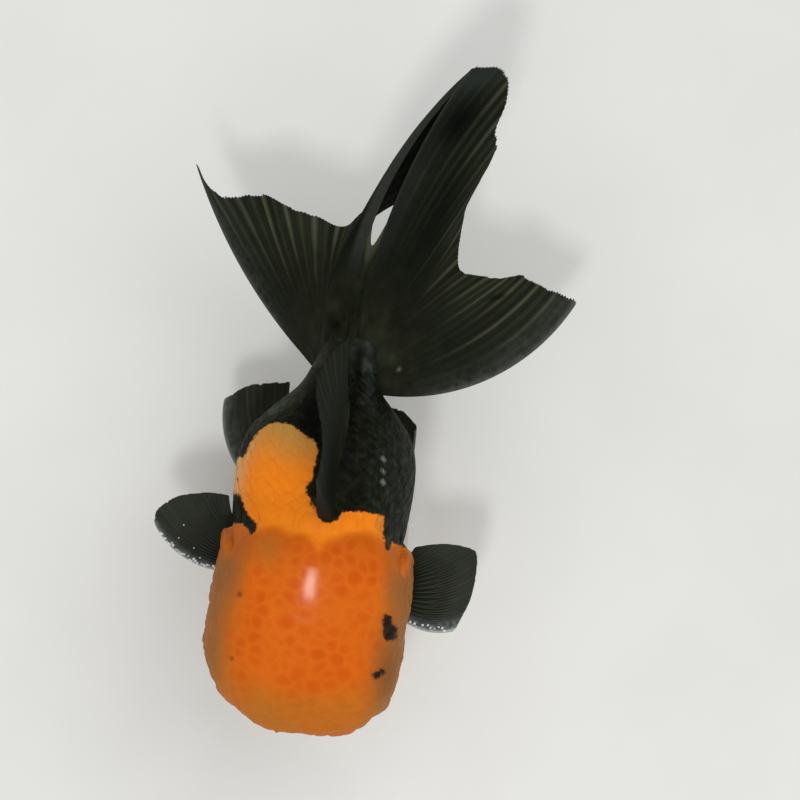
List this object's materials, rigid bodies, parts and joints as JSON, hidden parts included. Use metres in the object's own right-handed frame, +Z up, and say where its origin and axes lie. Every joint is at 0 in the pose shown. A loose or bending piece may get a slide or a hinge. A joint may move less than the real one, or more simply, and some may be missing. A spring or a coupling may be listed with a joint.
{
  "type": "fancy goldfish display model",
  "caption": "Life-size still model of a red-capped black oranda goldfish swimming with its double tail swept to one side, held by a rod on an oval display base.",
  "frame": {"origin": "centre of the stand's foot, on the floor, right under the rod and the fish's balance point", "axes": "+Z up; +Y from the snout towards the tail; +X towards the fish's left"},
  "size_m": [0.1127, 0.1854, 0.1187],
  "materials": {
    "wen": "soft orange-red skin with rounded growths, satin and moist-looking",
    "flank": "black scaled skin with a low sheen and one gold-orange patch on the back",
    "fin": "thin dark charcoal membrane with olive, slightly clear streaks between fine rays",
    "eye": "glossy dark eye with a thin metallic iris",
    "stand": "plain pale satin",
    "rod": "brushed steel"
  },
  "bodies": {
    "root": {"head": "wen", "hood": "wen", "snout": "wen", "cheek_left": "wen", "cheek_right": "wen", "gill_cover_left": "wen", "gill_cover_right": "wen", "eye_left": "eye", "eye_right": "eye", "trunk": "flank", "peduncle": "flank", "dorsal_fin": "fin", "pectoral_fin_left": "fin", "pectoral_fin_right": "fin", "pelvic_fin_left": "fin", "pelvic_fin_right": "fin", "anal_fin_left": "fin", "anal_fin_right": "fin", "tail_upper_left": "fin", "tail_upper_right": "fin", "tail_lower_left": "fin", "tail_lower_right": "fin", "stand_base": "stand", "stand_rod": "rod", "stand_collar": "rod"}
  },
  "joints": []
}
